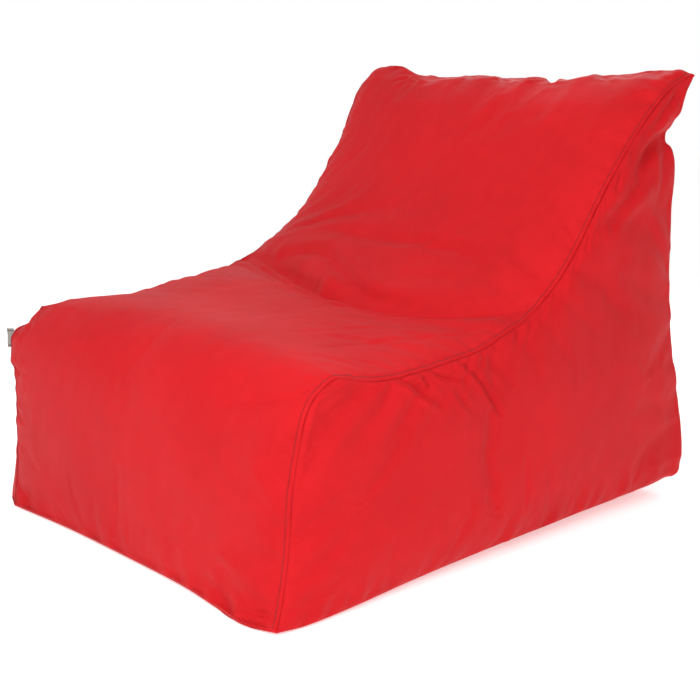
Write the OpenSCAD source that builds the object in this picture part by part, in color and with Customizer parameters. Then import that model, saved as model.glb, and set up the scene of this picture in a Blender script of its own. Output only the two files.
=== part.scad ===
// Bean bag chair: a coated-fabric cover made of flat sewn panels, an inner liner
// of the same cut, and a loose bead fill. Cover and liner each close with a coil zip
// that runs across the back. Millimetres, +Z up, the front faces -Y, the origin is
// at the centre of the base, on the floor.

/* [Overall] */
// Width across the two side panels
body_w = 820; // [760:10:880]
// Depth from the front panel to the back panel
body_d = 960; // [900:10:980]
// Height of the top edge of the backrest
body_h = 800; // [770:10:830]

/* [Side outline] */
// Height of the seat at its front edge
seat_h = 372; // [340:4:400]
// Depth of the flat seat, from the front panel to where the backrest line meets it
seat_d = 582; // [550:4:610]
// Rise of the seat line towards the back
seat_rise = 4; // [0:1:20]
// Distance of the backrest's upper bend from the back panel
shoulder_d = 75; // [60:5:90]
// Slope in degrees of the short crown between that bend and the top edge
crown_slope = 33; // [28:1:38]
// Radius of the front edge of the seat
knee_r = 110; // [80:5:130]
// Radius of the hollow between the seat and the backrest
lap_r = 480; // [400:10:500]
// Radius of the backrest's upper bend
shoulder_r = 60; // [40:5:80]
// Radius of the top edge
crest_r = 13; // [11:1:16]
// Radius of the bottom edges
hem_r = 24; // [20:1:30]

/* [Cover] */
// Thickness of the coated cover fabric
cover_t = 2; // [1.5:0.5:2]
// Width of the sewing thread as it lies on the fabric
thread_w = 1; // [0.8:0.1:1.2]
// Height of the sewing thread above the fabric
thread_h = 0.6; // [0.4:0.1:0.8]
// Distance of the stitch row from the side seam
stitch_inset = 8; // [6:1:10]

/* [Liner and fill] */
// Gap between the cover and the liner, apart from the back
liner_gap = 1; // [0.5:0.5:2]
// Room behind the liner for its zip slider
liner_back_gap = 8; // [7:0.5:9]
// Thickness of the liner fabric
liner_t = 1.2; // [1:0.1:1.4]
// Gap between the liner and the fill, apart from the back
fill_gap = 0.5; // [0.5:0.1:1]
// Room in front of the liner zip for its slider
fill_back_gap = 4; // [3.5:0.1:5]

/* [Zips] */
// Height of the cover zip above the floor
cover_zip_z = 120; // [100:5:180]
// Height of the liner zip above the floor
liner_zip_z = 300; // [260:5:340]
// Height of the slot that the fabric leaves for a zip
zip_slot = 14; // [14:1:16]
// Width of one zip tape
tape_w = 14; // [13:1:16]
// Thickness of a zip tape
tape_t = 0.8; // [0.6:0.1:0.8]
// Width of one row of coil
coil_w = 3; // [2.8:0.1:3]
// Thickness of the coil
coil_t = 2.2; // [2:0.1:2.2]
// Gap between the two rows, in which the slider's web runs
chain_gap = 1.2; // [1.2:0.1:1.4]
// Distance of each end stop from the side seam
zip_end = 64; // [30:2:80]
// Length of an end stop
stop_len = 4; // [3:0.5:5]

/* [Slider and pull] */
// Length of a slider
slider_len = 12; // [11:1:13]
// Thickness of a slider's plates
plate_t = 1.7; // [1.5:0.1:1.8]
// Running clearance between a slider and the chain
slider_play = 0.3; // [0.25:0.05:0.35]
// Distance of a parked slider's end from the stop
park_gap = 2; // [1:0.5:3]
// Radius of the cross pin that carries the pull
pin_r = 0.82; // [0.8:0.01:0.85]
// Running clearance of the cross pin
pin_play = 0.08; // [0.05:0.01:0.09]
// Length of the pull from its pin
pull_len = 32; // [26:1:32]
// Width of the pull
pull_w = 8; // [7:0.5:8]
// Thickness of the pull
pull_t = 1.6; // [1.4:0.1:1.6]

/* [Label] */
// Height of the woven label
label_h = 36; // [30:1:40]
// How far the label stands out of the seam
label_out = 15; // [12:1:16]
// Thickness of the folded label
label_t = 1.6; // [1.4:0.1:2]
// Height of the label's middle above the floor
label_z = 310; // [300:1:315]
// Turn of the label from the side face towards the front, in degrees
label_turn = 45; // [0:5:60]

/* [Hidden] */

half_w = body_w / 2;
front_y = -body_d / 2;
back_y = body_d / 2;
arc_step = 9; // largest angle that one side of a rounded corner turns
cover_red = "#c8242c";
side_red = "#b41f28";
thread_red = "#7d1018";
liner_white = "#e9e6de";
bead_white = "#f7f7f2";
tape_red = "#a01c24";
metal_grey = "#8f9296";
label_grey = "#8c8782";

// Corners of the side outline as [y, z, radius], anticlockwise seen from +X.
// The edge after each corner is: base, back, crown, backrest, seat, front.
TOE = 0;
HEEL = 1;
CREST = 2;
SHOULDER = 3;
LAP = 4;
KNEE = 5;
BACK_EDGE = 1;
crest_z = body_h + crest_r * (tan((90 + crown_slope) / 2) - 1);
outline_corners = [
    [front_y, 0, hem_r],
    [back_y, 0, hem_r],
    [back_y, crest_z, crest_r],
    [back_y - shoulder_d, crest_z - shoulder_d * tan(crown_slope), shoulder_r],
    [front_y + seat_d, seat_h + seat_rise, lap_r],
    [front_y, seat_h, knee_r]
];
corner_count = len(outline_corners);

// Inset of each edge from the outside of the cover, for every layer
liner_depth = cover_t + liner_gap;
fill_depth = liner_depth + liner_t + fill_gap;
cover_outside = insets(0, 0);
cover_inside = insets(cover_t, cover_t);
liner_outside = insets(liner_depth, cover_t + liner_back_gap);
liner_inside = insets(liner_depth + liner_t, cover_t + liner_back_gap + liner_t);
fill_outside = insets(fill_depth, cover_t + liner_back_gap + liner_t + fill_back_gap);
thread_outside = insets(-thread_h, -thread_h);

// Outer faces of the two backs, and the place of the chain on each
liner_back_y = back_y - cover_t - liner_back_gap;
liner_half_w = half_w - liner_depth;
stop_x = half_w - zip_end;
park_x = stop_x - park_gap - slider_len / 2;
slider_h = chain_gap + 2 * (coil_w + slider_play) + 2.2;
lug_t = 2;
lug_r = 2.2;
pin_lift = 1.6;
arm_w = (pull_w - lug_t) / 2 - 0.4;

function insets(all_round, at_back) =
    [for (e = [0 : corner_count - 1]) e == BACK_EDGE ? at_back : all_round];

// Direction of the edge that leaves a corner, and its inward normal
function point(i) = [outline_corners[i % corner_count][0], outline_corners[i % corner_count][1]];
function direction(i) = (point(i + 1) - point(i)) / norm(point(i + 1) - point(i));
function inward(i) = [-direction(i)[1], direction(i)[0]];

// Corner of an inset outline: where the two inset edges cross
function inset_corner(i, gaps) =
    let (before = (i + corner_count - 1) % corner_count,
         p = point(i) + inward(before) * gaps[before],
         q = point(i) + inward(i) * gaps[i],
         s = cross(q - p, direction(i)) / cross(direction(before), direction(i)))
    p + direction(before) * s;

// Points of one rounded corner of an inset outline
function rounded_corner(i, gaps) =
    let (before = (i + corner_count - 1) % corner_count,
         d0 = direction(before),
         d1 = direction(i),
         turn = atan2(cross(d0, d1), d0 * d1),
         way = sign(turn),
         r = outline_corners[i][2] - way * (gaps[before] + gaps[i]) / 2,
         start = inset_corner(i, gaps) - d0 * r * tan(abs(turn) / 2),
         centre = start + [-d0[1], d0[0]] * r * way,
         spoke = start - centre,
         steps = ceil(abs(turn) / arc_step))
    [for (k = [0 : steps])
        let (a = turn * k / steps)
        centre + [spoke[0] * cos(a) - spoke[1] * sin(a), spoke[0] * sin(a) + spoke[1] * cos(a)]];

function path_of(corners, gaps) = [for (i = corners) each rounded_corner(i, gaps)];
function reversed(list) = [for (i = [len(list) - 1 : -1 : 0]) list[i]];

// Extrudes a side-view shape along X between two planes
module across(x0, x1) {
    translate([x0, 0, 0]) rotate([90, 0, 90]) linear_extrude(x1 - x0) children();
}

// Sheet of fabric that follows the outline over a run of corners
module wrapped_sheet(corners, outside, inside, half_width) {
    across(-half_width, half_width)
        polygon(concat(path_of(corners, outside), reversed(path_of(corners, inside))));
}

// Flat sheet cut to the whole side outline, standing on one side of the body
module side_sheet(x0, x1, gaps) {
    across(x0, x1) polygon(path_of([TOE, HEEL, CREST, SHOULDER, LAP, KNEE], gaps));
}

// Upper part of a back: from the zip slot to the top edge
module upper_back(face_y, thickness, zip_z, outside, inside, half_width) {
    outer_top = rounded_corner(CREST, outside)[0];
    inner_top = rounded_corner(CREST, inside)[0];
    slot_top = zip_z + zip_slot / 2;
    across(-half_width, half_width)
        polygon([[face_y, slot_top], outer_top, inner_top, [face_y - thickness, slot_top]]);
}

// Lower part of a back: from the base, round the bottom edge, to the zip slot
module lower_back(face_y, thickness, zip_z, outside, inside, half_width) {
    slot_bottom = zip_z - zip_slot / 2;
    across(-half_width, half_width)
        polygon(concat(rounded_corner(HEEL, outside),
                       [[face_y, slot_bottom], [face_y - thickness, slot_bottom]],
                       reversed(rounded_corner(HEEL, inside))));
}

// Flat base between the two rounded bottom edges
module base_sheet(outside, inside, half_width) {
    front = rounded_corner(TOE, outside);
    front_inner = rounded_corner(TOE, inside);
    across(-half_width, half_width)
        polygon([front[len(front) - 1], rounded_corner(HEEL, outside)[0],
                 rounded_corner(HEEL, inside)[0], front_inner[len(front_inner) - 1]]);
}

// Row of thread along one side seam, from the bottom of the front up to the top edge
module topstitch(x) {
    stitched = [CREST, SHOULDER, LAP, KNEE];
    ends = [rounded_corner(TOE, thread_outside)[0], rounded_corner(TOE, cover_outside)[0]];
    color(thread_red) across(x - thread_w / 2, x + thread_w / 2)
        polygon(concat(path_of(stitched, thread_outside), ends,
                       reversed(path_of(stitched, cover_outside))));
}

// One zip tape, behind the fabric; up is 1 above the chain and -1 below it
module zip_tape(up, zip_z, fabric_back_y, half_width) {
    low = up > 0 ? zip_z + chain_gap / 2 : zip_z - chain_gap / 2 - tape_w;
    color(tape_red)
        translate([-half_width, fabric_back_y - tape_t, low]) cube([2 * half_width, tape_t, tape_w]);
}

// One row of coil on the outer face of its tape
module zip_coil(up, zip_z, fabric_back_y) {
    low = up > 0 ? zip_z + chain_gap / 2 : zip_z - chain_gap / 2 - coil_w;
    color(thread_red)
        translate([-stop_x, fabric_back_y, low]) cube([2 * stop_x, coil_t, coil_w]);
}

// Two top stops, one on each tape, just past the coil
module zip_top_stops(zip_z, fabric_back_y) {
    stop_h = coil_w + 0.8;
    color(metal_grey) for (low = [zip_z + chain_gap / 2, zip_z - chain_gap / 2 - stop_h])
        translate([stop_x, fabric_back_y, low]) cube([stop_len, coil_t + 0.6, stop_h]);
}

// Bottom stop: one block across both rows, at the other end
module zip_bottom_stop(zip_z, fabric_back_y) {
    stop_h = chain_gap + 2 * (coil_w + 0.8);
    color(metal_grey) translate([-stop_x - stop_len, fabric_back_y, zip_z - stop_h / 2])
        cube([stop_len, coil_t + 0.6, stop_h]);
}

// Zip slider, parked at the closed end: an outer and an inner plate joined by a thin web
// that runs between the rows, and a flange along each long edge of the outer plate
module zip_slider(zip_z, fabric_back_y) {
    outer_y = fabric_back_y + coil_t + slider_play;
    inner_y = fabric_back_y - tape_t - slider_play - plate_t;
    web_t = chain_gap - 2 * slider_play;
    flange_t = slider_h / 2 - chain_gap / 2 - coil_w - slider_play;
    translate([park_x - slider_len / 2, 0, zip_z]) {
        translate([0, outer_y, -slider_h / 2]) cube([slider_len, plate_t, slider_h]);
        translate([0, inner_y, -slider_h / 2]) cube([slider_len, plate_t, slider_h]);
        translate([slider_len / 2, inner_y, -web_t / 2])
            cube([slider_len / 2, outer_y - inner_y + plate_t, web_t]);
        for (low = [-slider_h / 2, slider_h / 2 - flange_t])
            translate([0, fabric_back_y + slider_play, low])
                cube([slider_len, outer_y - fabric_back_y, flange_t]);
    }
}

pin_y = back_y - cover_t + coil_t + slider_play + plate_t + pin_lift;

module front_seat_back_panel() {
    color(cover_red) wrapped_sheet([CREST, SHOULDER, LAP, KNEE, TOE],
                                   cover_outside, cover_inside, half_w - cover_t);
}

module left_side_panel() {
    color(side_red) side_sheet(-half_w, -half_w + cover_t, cover_outside);
}

module right_side_panel() {
    color(side_red) side_sheet(half_w - cover_t, half_w, cover_outside);
}

module back_panel_upper() {
    color(side_red) upper_back(back_y, cover_t, cover_zip_z, cover_outside, cover_inside,
                               half_w - cover_t);
}

module back_panel_lower() {
    color(side_red) lower_back(back_y, cover_t, cover_zip_z, cover_outside, cover_inside,
                               half_w - cover_t);
}

module base_panel() {
    color(thread_red) base_sheet(cover_outside, cover_inside, half_w - cover_t);
}

module left_topstitch() { topstitch(-half_w + stitch_inset); }

module right_topstitch() { topstitch(half_w - stitch_inset); }

// Row of thread below the top edge, on the back
module top_edge_stitch() {
    color(thread_red)
        translate([-half_w + stitch_inset, back_y, body_h - crest_r - stitch_inset - thread_w])
            cube([body_w - 2 * stitch_inset, thread_h, thread_w]);
}

// Woven label folded in two, sewn into the left front seam
module label_tab() {
    layer_t = (label_t - 0.4) / 2;
    fold_r = label_t / 2;
    color(label_grey)
        translate([-half_w, front_y + knee_r / 4, label_z - label_h / 2]) linear_extrude(label_h)
            intersection() {
                translate([-label_out, -label_out]) square([label_out, 2 * label_out]);
                rotate(label_turn) difference() {
                    union() {
                        translate([-label_out + fold_r, -fold_r]) square([label_out, label_t]);
                        translate([-label_out + fold_r, 0]) circle(r = fold_r, $fn = 24);
                    }
                    translate([-label_out + fold_r, -fold_r + layer_t])
                        square([label_out, label_t - 2 * layer_t]);
                }
            }
}

module cover_zip_tape_upper() { zip_tape(1, cover_zip_z, back_y - cover_t, half_w - cover_t); }

module cover_zip_tape_lower() { zip_tape(-1, cover_zip_z, back_y - cover_t, half_w - cover_t); }

module cover_zip_coil_upper() { zip_coil(1, cover_zip_z, back_y - cover_t); }

module cover_zip_coil_lower() { zip_coil(-1, cover_zip_z, back_y - cover_t); }

module cover_zip_top_stops() { zip_top_stops(cover_zip_z, back_y - cover_t); }

module cover_zip_bottom_stop() { zip_bottom_stop(cover_zip_z, back_y - cover_t); }

// Slider of the cover zip, with a bored lug for the pull's cross pin
module cover_zip_slider() {
    lug_foot = pin_lift + plate_t / 2;
    color(metal_grey) {
        zip_slider(cover_zip_z, back_y - cover_t);
        translate([park_x, pin_y, cover_zip_z - lug_t / 2]) linear_extrude(lug_t) difference() {
            union() {
                circle(r = lug_r, $fn = 48);
                translate([-lug_r, -lug_foot]) square([2 * lug_r, lug_foot]);
            }
            circle(r = pin_r + pin_play, $fn = 48);
        }
    }
}

// Pull: a cross pin between two arms that join into a flat tab with a hole at its end
module cover_zip_pull() {
    arm_end = 1;
    tab_start = 4;
    hole_r = 1.8;
    color(metal_grey) translate([park_x, pin_y, cover_zip_z]) {
        translate([0, 0, -pull_w / 2]) cylinder(r = pin_r, h = pull_w, $fn = 48);
        for (low = [-pull_w / 2, pull_w / 2 - arm_w])
            translate([-tab_start, -pull_t / 2, low]) cube([tab_start + arm_end, pull_t, arm_w]);
        rotate([90, 0, 0]) translate([0, 0, -pull_t / 2]) linear_extrude(pull_t) difference() {
            union() {
                translate([-pull_len + pull_w / 2, -pull_w / 2])
                    square([pull_len - pull_w / 2 - tab_start, pull_w]);
                translate([-pull_len + pull_w / 2, 0]) circle(r = pull_w / 2, $fn = 48);
            }
            translate([-pull_len + pull_w / 2, 0]) circle(r = hole_r, $fn = 32);
        }
    }
}

module liner_front_seat_back() {
    color(liner_white) wrapped_sheet([CREST, SHOULDER, LAP, KNEE, TOE],
                                     liner_outside, liner_inside, liner_half_w - liner_t);
}

module liner_left_side() {
    color(liner_white) side_sheet(-liner_half_w, -liner_half_w + liner_t, liner_outside);
}

module liner_right_side() {
    color(liner_white) side_sheet(liner_half_w - liner_t, liner_half_w, liner_outside);
}

module liner_back_upper() {
    color(liner_white) upper_back(liner_back_y, liner_t, liner_zip_z, liner_outside, liner_inside,
                                  liner_half_w - liner_t);
}

module liner_back_lower() {
    color(liner_white) lower_back(liner_back_y, liner_t, liner_zip_z, liner_outside, liner_inside,
                                  liner_half_w - liner_t);
}

module liner_base() {
    color(liner_white) base_sheet(liner_outside, liner_inside, liner_half_w - liner_t);
}

module liner_zip_tape_upper() {
    zip_tape(1, liner_zip_z, liner_back_y - liner_t, liner_half_w - liner_t);
}

module liner_zip_tape_lower() {
    zip_tape(-1, liner_zip_z, liner_back_y - liner_t, liner_half_w - liner_t);
}

module liner_zip_coil_upper() { zip_coil(1, liner_zip_z, liner_back_y - liner_t); }

module liner_zip_coil_lower() { zip_coil(-1, liner_zip_z, liner_back_y - liner_t); }

module liner_zip_top_stops() { zip_top_stops(liner_zip_z, liner_back_y - liner_t); }

module liner_zip_bottom_stop() { zip_bottom_stop(liner_zip_z, liner_back_y - liner_t); }

// Slider of the liner zip: it has no pull, so that a child can't open the fill
module liner_zip_slider() {
    color(metal_grey) zip_slider(liner_zip_z, liner_back_y - liner_t);
}

// The beads as one body of fill inside the liner
module bead_fill() {
    side = half_w - fill_depth;
    color(bead_white) side_sheet(-side, side, fill_outside);
}

front_seat_back_panel();
left_side_panel();
right_side_panel();
back_panel_upper();
back_panel_lower();
base_panel();
left_topstitch();
right_topstitch();
top_edge_stitch();
label_tab();
cover_zip_tape_upper();
cover_zip_tape_lower();
cover_zip_coil_upper();
cover_zip_coil_lower();
cover_zip_top_stops();
cover_zip_bottom_stop();
cover_zip_slider();
cover_zip_pull();
liner_front_seat_back();
liner_left_side();
liner_right_side();
liner_back_upper();
liner_back_lower();
liner_base();
liner_zip_tape_upper();
liner_zip_tape_lower();
liner_zip_coil_upper();
liner_zip_coil_lower();
liner_zip_top_stops();
liner_zip_bottom_stop();
liner_zip_slider();
bead_fill();
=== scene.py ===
import math

import bmesh
import bpy
import numpy as np
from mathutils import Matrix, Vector


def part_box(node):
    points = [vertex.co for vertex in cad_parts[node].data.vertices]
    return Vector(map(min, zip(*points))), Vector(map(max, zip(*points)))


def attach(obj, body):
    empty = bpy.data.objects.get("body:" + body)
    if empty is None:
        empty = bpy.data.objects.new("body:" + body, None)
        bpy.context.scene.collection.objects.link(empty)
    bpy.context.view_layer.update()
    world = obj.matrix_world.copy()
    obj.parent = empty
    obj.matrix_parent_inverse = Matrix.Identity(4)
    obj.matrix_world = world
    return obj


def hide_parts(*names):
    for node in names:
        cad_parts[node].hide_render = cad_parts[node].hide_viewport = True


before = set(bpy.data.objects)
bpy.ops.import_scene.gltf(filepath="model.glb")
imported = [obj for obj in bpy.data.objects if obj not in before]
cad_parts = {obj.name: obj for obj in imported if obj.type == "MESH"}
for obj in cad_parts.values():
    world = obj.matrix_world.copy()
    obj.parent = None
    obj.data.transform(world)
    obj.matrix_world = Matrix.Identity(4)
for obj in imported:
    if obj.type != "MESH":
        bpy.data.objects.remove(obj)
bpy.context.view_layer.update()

# ---------------------------------------------------------------- places from the frame
HALF_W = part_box("right_side_panel")[1][0]
BACK_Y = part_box("back_panel_upper")[1][1]
CHAIR = "chair"


class Zip:
    """Where one zip lies: its panel's outer face, the slot in it, and how far it reaches."""

    def __init__(self, layer, back):
        (_, _, slot_top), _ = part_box(back + "_upper")
        _, (_, self.face_y, slot_bottom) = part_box(back + "_lower")
        self.low, self.high = slot_bottom, slot_top
        self.z = (self.low + self.high) / 2
        self.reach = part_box(layer + "_zip_top_stops")[1][0] + 0.002


COVER_ZIP = Zip("cover", "back_panel")
LINER_ZIP = Zip("liner", "liner_back")


# ---------------------------------------------------------------- stage: camera, light, floor
def make_camera():
    """The photograph's view: from the front right corner, a little above the seat."""
    data = bpy.data.cameras.new("camera")
    data.lens = 64.1
    data.sensor_width = 36.0
    cam = bpy.data.objects.new("camera", data)
    cam.location = (1.714, -1.507, 0.743)
    cam.rotation_euler = (math.radians(90 - 11.25), 0.0, math.radians(48.22))
    bpy.context.collection.objects.link(cam)
    bpy.context.scene.camera = cam


def make_light(name, place, aim, size, power):
    data = bpy.data.lights.new(name, "AREA")
    data.shape = "RECTANGLE"
    data.size = data.size_y = size
    data.energy = power
    lamp = bpy.data.objects.new(name, data)
    lamp.location = place
    lamp.rotation_euler = (Vector(aim) - Vector(place)).to_track_quat("-Z", "Y").to_euler()
    bpy.context.collection.objects.link(lamp)


def make_surround(low, high, overhead):
    """White up to low, as the sine of the height above the horizon; at overhead beyond high."""
    world = bpy.data.worlds.new("studio")
    world.use_nodes = True
    tree = world.node_tree
    places = tree.nodes.new("ShaderNodeTexCoord")
    split = tree.nodes.new("ShaderNodeSeparateXYZ")
    level = tree.nodes.new("ShaderNodeMapRange")
    level.interpolation_type = "SMOOTHSTEP"
    for i, value in enumerate((low, high, 1.0, overhead), start=1):
        level.inputs[i].default_value = value
    tree.links.new(places.outputs["Generated"], split.inputs[0])
    tree.links.new(split.outputs[2], level.inputs[0])
    tree.links.new(level.outputs[0], tree.nodes["Background"].inputs["Strength"])
    tree.nodes["Background"].inputs["Color"].default_value = (1.0, 1.0, 1.0, 1.0)
    return world


def make_stage():
    """A white floor lit from below, as in a product studio, soft light and a bright surround."""
    scene = bpy.context.scene
    scene.view_settings.view_transform = "Standard"
    scene.world = make_surround(low=0.12, high=0.40, overhead=0.52)
    make_light("key", (1.20, -1.02, 1.0), aim=(0.2, -0.2, 0.30), size=0.6, power=8.5)
    make_light("rear", (-0.9, 2.0, 1.5), aim=(0.0, 0.3, 0.3), size=1.6, power=19.0)
    make_light("front", (0.5, -1.2, 2.2), aim=(0.0, 0.0, 0.45), size=1.4, power=26.5)
    bpy.ops.mesh.primitive_plane_add(size=30.0, location=(0.0, 0.0, -0.0005))
    floor = bpy.context.object
    floor.name = "floor"
    material = bpy.data.materials.new("floor_white")
    material.use_nodes = True
    shader = material.node_tree.nodes["Principled BSDF"]
    shader.inputs["Base Color"].default_value = (0.93, 0.93, 0.93, 1.0)
    shader.inputs["Roughness"].default_value = 0.9
    shader.inputs["Emission Color"].default_value = (1.0, 1.0, 1.0, 1.0)
    shader.inputs["Emission Strength"].default_value = 0.47
    floor.data.materials.append(material)


# ---------------------------------------------------------------- curves and grids
def catmull_rows(count, u):
    """Matrix that samples a smooth curve through count points at the index-space places u."""
    rows = np.zeros((len(u), count + 2))
    i = np.clip(np.floor(u).astype(int), 0, count - 2)
    f = np.asarray(u) - i
    at = np.arange(len(u))
    rows[at, i] += 0.5 * (-f + 2 * f ** 2 - f ** 3)
    rows[at, i + 1] += 0.5 * (2 - 5 * f ** 2 + 3 * f ** 3)
    rows[at, i + 2] += 0.5 * (f + 4 * f ** 2 - 3 * f ** 3)
    rows[at, i + 3] += 0.5 * (-f ** 2 + f ** 3)
    inner = rows[:, 1:-1].copy()
    inner[:, 0] += 2 * rows[:, 0]
    inner[:, 1] -= rows[:, 0]
    inner[:, -1] += 2 * rows[:, -1]
    inner[:, -2] -= rows[:, -1]
    return inner


def catmull(points, u):
    """Smooth curve through points at the index-space places u."""
    return catmull_rows(len(points), u) @ np.asarray(points, float)


def line_lengths(points):
    """Distance along a line of points from its first point."""
    return np.concatenate([[0], np.cumsum(np.linalg.norm(np.diff(points, axis=0), axis=1))])


def between_points(want, places, points):
    """Points at the wanted places, straight between points at known places."""
    return np.stack([np.interp(want, places, points[:, c]) for c in range(3)], axis=-1)


def even_curve(points, count):
    """count + 1 points along the smooth curve, evenly spaced by length."""
    dense = catmull(points, np.linspace(0, len(points) - 1, 40 * len(points)))
    along = line_lengths(dense)
    return between_points(np.linspace(0, along[-1], count + 1), along, dense)


def resample(grid, u, v):
    """A finer grid through a coarse one, at index-space rows u and columns v."""
    by_rows = np.einsum("ai,ijc->ajc", catmull_rows(grid.shape[0], u), grid)
    return np.einsum("bj,ajc->abc", catmull_rows(grid.shape[1], v), by_rows)


def smooth_rows(curve, reach):
    """A curve's points averaged over a reach, in steps; its ends stay."""
    out = curve.copy()
    for _ in range(reach):
        out[1:-1] = 0.5 * out[1:-1] + 0.25 * (out[:-2] + out[2:])
    return out


def unit(v):
    return v / np.maximum(np.linalg.norm(v, axis=-1, keepdims=True), 1e-9)


def dome(t, power, fullness):
    """0 at both ends of 0..1 and 1 in the middle; flat-topped and steep at the ends."""
    return (1 - np.abs(2 * t - 1) ** power) ** fullness


def bump(x, middle, width):
    return np.exp(-((x - middle) / width) ** 2)


def eased(x):
    """0 below 0 and 1 above 1, with a smooth way between them."""
    x = np.clip(x, 0, 1)
    return x ** 2 * (3 - 2 * x)


# ---------------------------------------------------------------- the sewn body at rest
# Cells of the working grid: across the width, along the seat and backrest, up the front
NX, NY, NZ = 82, 112, 48

# Right front seam as (inset from the side, y, z), from the floor up to the corner
RIGHT_FRONT_SEAM = [
    (0.000, -0.481, 0.003), (0.002, -0.468, 0.050), (0.004, -0.455, 0.122), (0.005, -0.448, 0.195),
    (0.005, -0.435, 0.258), (0.005, -0.427, 0.298), (0.005, -0.418, 0.320), (0.004, -0.403, 0.340),
    (0.003, -0.386, 0.354),
]
# Left front seam, which stands out as a lobe below the corner
LEFT_FRONT_SEAM = [
    (0.041, -0.489, 0.002), (0.024, -0.478, 0.022), (0.016, -0.470, 0.055), (0.014, -0.464, 0.122),
    (0.014, -0.461, 0.190), (0.013, -0.457, 0.250), (-0.005, -0.457, 0.278),
    (-0.012, -0.455, 0.306), (-0.010, -0.443, 0.329), (0.003, -0.425, 0.341),
    (0.021, -0.405, 0.370),
]
# Right side seam from the corner along the seat and up the backrest to the top corner
RIGHT_SEAT_SEAM = [
    (0.003, -0.386, 0.354), (0.004, -0.362, 0.359), (0.005, -0.329, 0.350), (0.006, -0.270, 0.339),
    (0.007, -0.200, 0.341), (0.008, -0.118, 0.348), (0.009, -0.050, 0.356), (0.010, 0.000, 0.373),
    (0.010, 0.061, 0.396), (0.010, 0.137, 0.448), (0.010, 0.191, 0.507), (0.010, 0.237, 0.571),
    (0.010, 0.283, 0.627), (0.010, 0.345, 0.696), (0.009, 0.380, 0.732), (0.007, 0.415, 0.760),
    (0.004, 0.457, 0.782), (0.000, 0.482, 0.792),
]
# Left side seam, which lies higher and farther back
LEFT_SEAT_SEAM = [
    (0.000, -0.402, 0.370), (0.002, -0.359, 0.367), (0.006, -0.236, 0.364), (0.008, -0.127, 0.381),
    (0.010, 0.040, 0.406), (0.012, 0.169, 0.466), (0.012, 0.248, 0.524), (0.008, 0.349, 0.653),
    (0.002, 0.397, 0.737), (-0.004, 0.440, 0.781), (0.000, 0.482, 0.792),
]
# Rear seam, from the floor to the top corner
REAR_SEAM = [
    (0.006, 0.503, 0.031), (0.002, 0.512, 0.046), (0.000, 0.516, 0.080), (0.001, 0.511, 0.130),
    (0.003, 0.498, 0.200), (0.005, 0.484, 0.284), (0.006, 0.474, 0.343), (0.007, 0.466, 0.420),
    (0.007, 0.462, 0.510), (0.007, 0.460, 0.600), (0.009, 0.455, 0.650), (0.016, 0.438, 0.675),
    (0.011, 0.450, 0.705), (0.005, 0.464, 0.742), (-0.001, 0.484, 0.792),
]
# Bottom seam, from the front corner to the rear corner
BASE_SEAM = [
    (0.000, -0.481, 0.003), (-0.007, -0.430, 0.003), (-0.005, -0.340, 0.005),
    (0.004, -0.220, 0.008), (0.008, -0.100, 0.012), (0.010, 0.087, 0.018), (0.010, 0.337, 0.025),
    (0.006, 0.503, 0.031),
]
# Bottom front seam, as (x, y, z), from the left corner to the right corner
TOE_SEAM = [
    (-0.369, -0.489, 0.002), (-0.330, -0.487, 0.003), (-0.150, -0.480, 0.004),
    (0.060, -0.480, 0.004), (0.180, -0.483, 0.004), (0.270, -0.491, 0.003), (0.350, -0.498, 0.002),
    (0.410, -0.482, 0.003),
]
# Fold line where the seat meets the backrest, as (x, y)
LAP_LINE = [
    (-0.410, 0.075), (-0.240, 0.022), (-0.040, -0.045), (0.120, -0.058), (0.200, -0.052),
    (0.262, -0.028), (0.306, 0.000), (0.410, 0.060),
]
# The hollow along that line, and the narrow crease a little behind it
LAP_DEPTH, LAP_WIDTH = 0.023, 0.060
CREASE_DEPTH, CREASE_WIDTH, CREASE_BACK = 0.014, 0.021, 0.017
# How far the sides and the back bulge, and how far the rear bottom edge is tucked in and up
SIDE_SWELL, BACK_SWELL = 0.032, 0.026
REAR_TUCK = np.array([[0.022, 0.024]])
# Rise of the strip's middle, as (row, height); its last row is added where it is used
CROWN = [(0, 0.000), (8, 0.006), (20, 0.020), (34, 0.026), (NZ, 0.036), (NZ + 25, 0.036),
         (NZ + 60, 0.038), (NZ + 85, 0.036), (NZ + 98, 0.033), (NZ + 106, 0.023)]
# Top edge, as (x, y, z), from the left corner to the right corner
CREST = [
    (-0.413, 0.479, 0.808), (-0.386, 0.474, 0.824), (-0.322, 0.470, 0.824), (-0.274, 0.468, 0.807),
    (-0.230, 0.470, 0.801), (-0.171, 0.472, 0.799), (-0.085, 0.474, 0.802), (-0.027, 0.472, 0.795),
    (0.040, 0.472, 0.795), (0.080, 0.472, 0.793), (0.112, 0.468, 0.782), (0.145, 0.472, 0.790),
    (0.189, 0.474, 0.795), (0.259, 0.474, 0.797), (0.330, 0.476, 0.800), (0.380, 0.481, 0.803),
    (0.414, 0.484, 0.797),
]


def side_curve(points, side, count):
    """A seam of one side, with its insets turned into places across the width."""
    return even_curve([(side * (HALF_W - inset), y, z) for inset, y, z in points], count)


def match_columns(curve, share):
    """Points of a curve at the given shares of its way along Y."""
    t = (curve[:, 1] - curve[0, 1]) / (curve[-1, 1] - curve[0, 1])
    return between_points(share, t, curve)


def coons(low, high, start, end):
    """Surface between four edges: low and high run along i, start and end along j."""
    s = np.linspace(0, 1, len(low))[:, None, None]
    t = np.linspace(0, 1, len(start))[None, :, None]
    across = (1 - t) * low[:, None] + t * high[:, None]
    along = (1 - s) * start[None] + s * end[None]
    corners = ((1 - s) * (1 - t) * low[0] + (1 - s) * t * high[0]
               + s * (1 - t) * low[-1] + s * t * high[-1])
    return across + along - corners


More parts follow.
